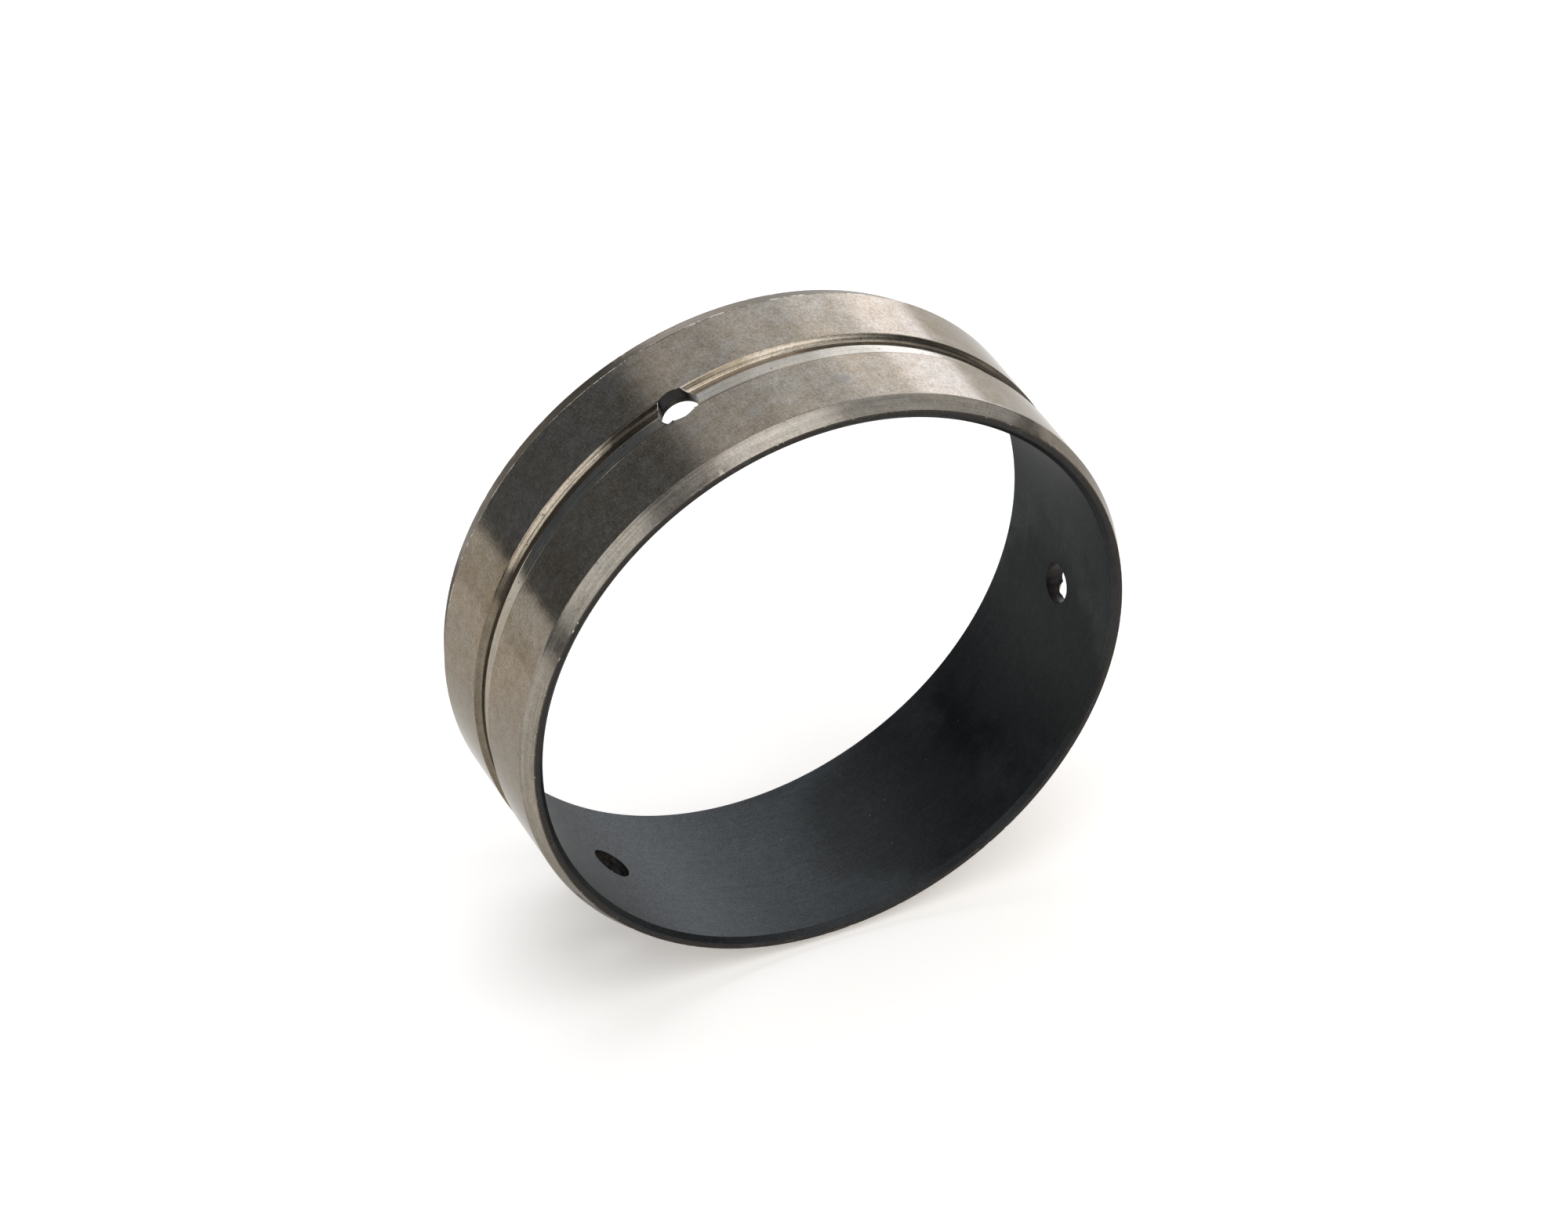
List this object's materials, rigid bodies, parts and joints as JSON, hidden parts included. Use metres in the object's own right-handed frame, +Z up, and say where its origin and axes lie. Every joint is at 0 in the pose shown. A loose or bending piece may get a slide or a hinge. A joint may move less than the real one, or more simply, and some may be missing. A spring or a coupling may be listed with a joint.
{
  "type": "plain bearing bush",
  "caption": "Thin-walled plain bearing bush with a steel backing, an outer oil groove with radial oil holes, and a black coated bore that carries a rotating journal.",
  "frame": {"origin": "centre of the bore at mid width", "axes": "+Y along the bush axis from the front end to the rear end, +Z up with the bush standing on its outer surface as in the picture"},
  "size_m": [0.0586, 0.0196, 0.0586],
  "materials": {
    "steel_backing": "satin, fine tumbled grain, turned lead-in edges",
    "alloy_lining": "fine machined",
    "running_coat": "matte black baked polymer"
  },
  "bodies": {
    "root": {"steel_backing": "steel_backing", "alloy_lining": "alloy_lining", "running_coat": "running_coat"}
  },
  "joints": []
}
